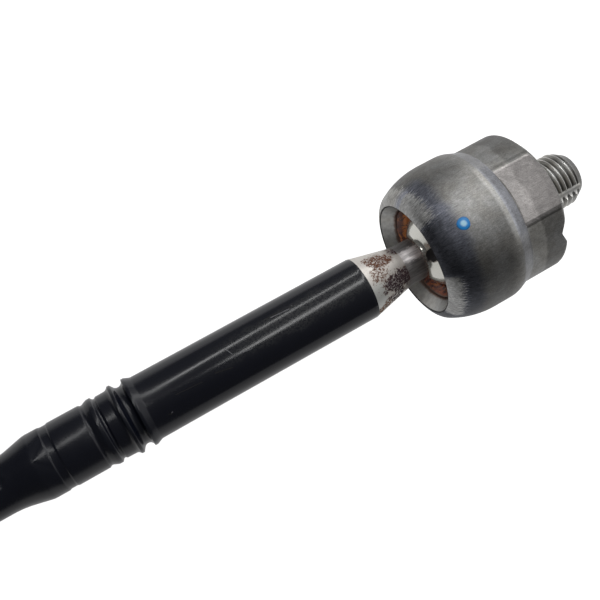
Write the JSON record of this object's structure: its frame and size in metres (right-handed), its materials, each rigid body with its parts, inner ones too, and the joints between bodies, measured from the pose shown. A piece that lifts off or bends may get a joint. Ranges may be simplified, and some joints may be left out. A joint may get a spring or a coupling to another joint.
{
  "type": "tie rod",
  "caption": "Inner tie rod: steel rod with a ball end held in a steel socket with two wrench flats, whose threaded stud screws into a steering rack.",
  "frame": {"origin": "on the axis, in the plane of the shoulder that is screwed against the steering rack", "axes": "+X along the axis from the rack stud out to the thread for the outer tie rod end; +Z is the normal of one wrench flat; the rod is in line with the stud"},
  "size_m": [0.2615, 0.0388, 0.0388],
  "materials": {
    "housing_steel": "bare forged and turned steel, brushed on the crown, dull on the collar",
    "seat_plastic": "moulded plastic, greasy",
    "rod_black_paint": "gloss black paint on the shank, bare steel with rust specks on the cone, bright neck and ball"
  },
  "bodies": {
    "housing": {"joint_housing": "housing_steel"},
    "seat": {"ball_seat": "seat_plastic"},
    "rod": {"tie_rod_bar": "rod_black_paint"}
  },
  "joints": [
    {"name": "rod_swivel", "type": "hinge", "parent": "housing", "child": "seat", "pos_m": [0.02, 0, 0], "axis": [1, 0, 0], "continuous": true},
    {"name": "rod_swing", "type": "hinge", "parent": "seat", "child": "rod", "pos_m": [0.02, 0, 0], "axis": [0, 1, 0], "range_deg": [-25, 25]}
  ]
}
